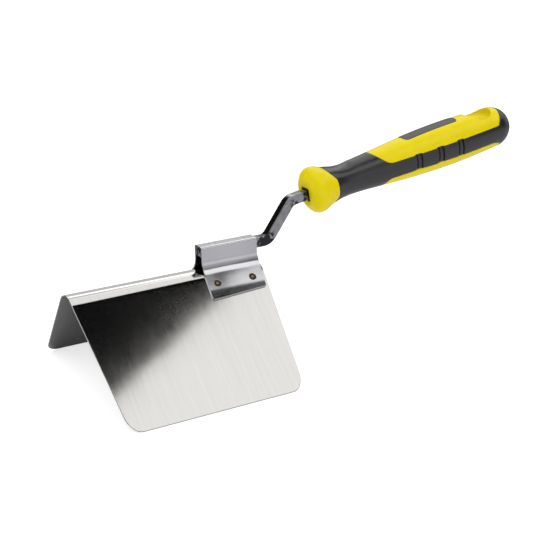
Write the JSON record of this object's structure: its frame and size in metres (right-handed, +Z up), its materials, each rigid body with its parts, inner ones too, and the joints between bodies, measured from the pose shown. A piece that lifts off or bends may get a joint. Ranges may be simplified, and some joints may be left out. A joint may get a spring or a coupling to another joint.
{
  "type": "outside corner trowel",
  "caption": "Outside corner trowel: folded stainless blade with a bracket spot-welded over the fold, cranked square shank and soft-grip moulded handle with a hanging hole.",
  "frame": {"origin": "centre of the footprint, level with the lowest edges of the two wings", "axes": "+X along the fold towards the handle, +Z up out of the fold on the handle's side, y = 0 is the plane of symmetry"},
  "size_m": [0.3284, 0.1438, 0.1371],
  "materials": {
    "brushed_stainless": "satin, brushed down the wings",
    "polished_stainless": "polished, with faint drawing lines",
    "weld_heat_tint": "heat-tinted spot weld, brown ring",
    "weld_polished": "ground flush",
    "plated_steel": "bright plating over forged bar",
    "black_plastic": "moulded, matt",
    "yellow_plastic": "moulded, glossy",
    "black_soft_grip": "soft-touch elastomer, low sheen",
    "plaque_grey": "satin insert"
  },
  "bodies": {
    "root": {"blade": "brushed_stainless", "saddle_bracket": "polished_stainless", "flange_spot_welds": "weld_heat_tint", "channel_plug_welds": "weld_polished", "shank": "plated_steel", "handle_core": "black_plastic", "handle_shell": "yellow_plastic", "soft_grip": "black_soft_grip", "handle_plaque": "plaque_grey"}
  },
  "joints": []
}
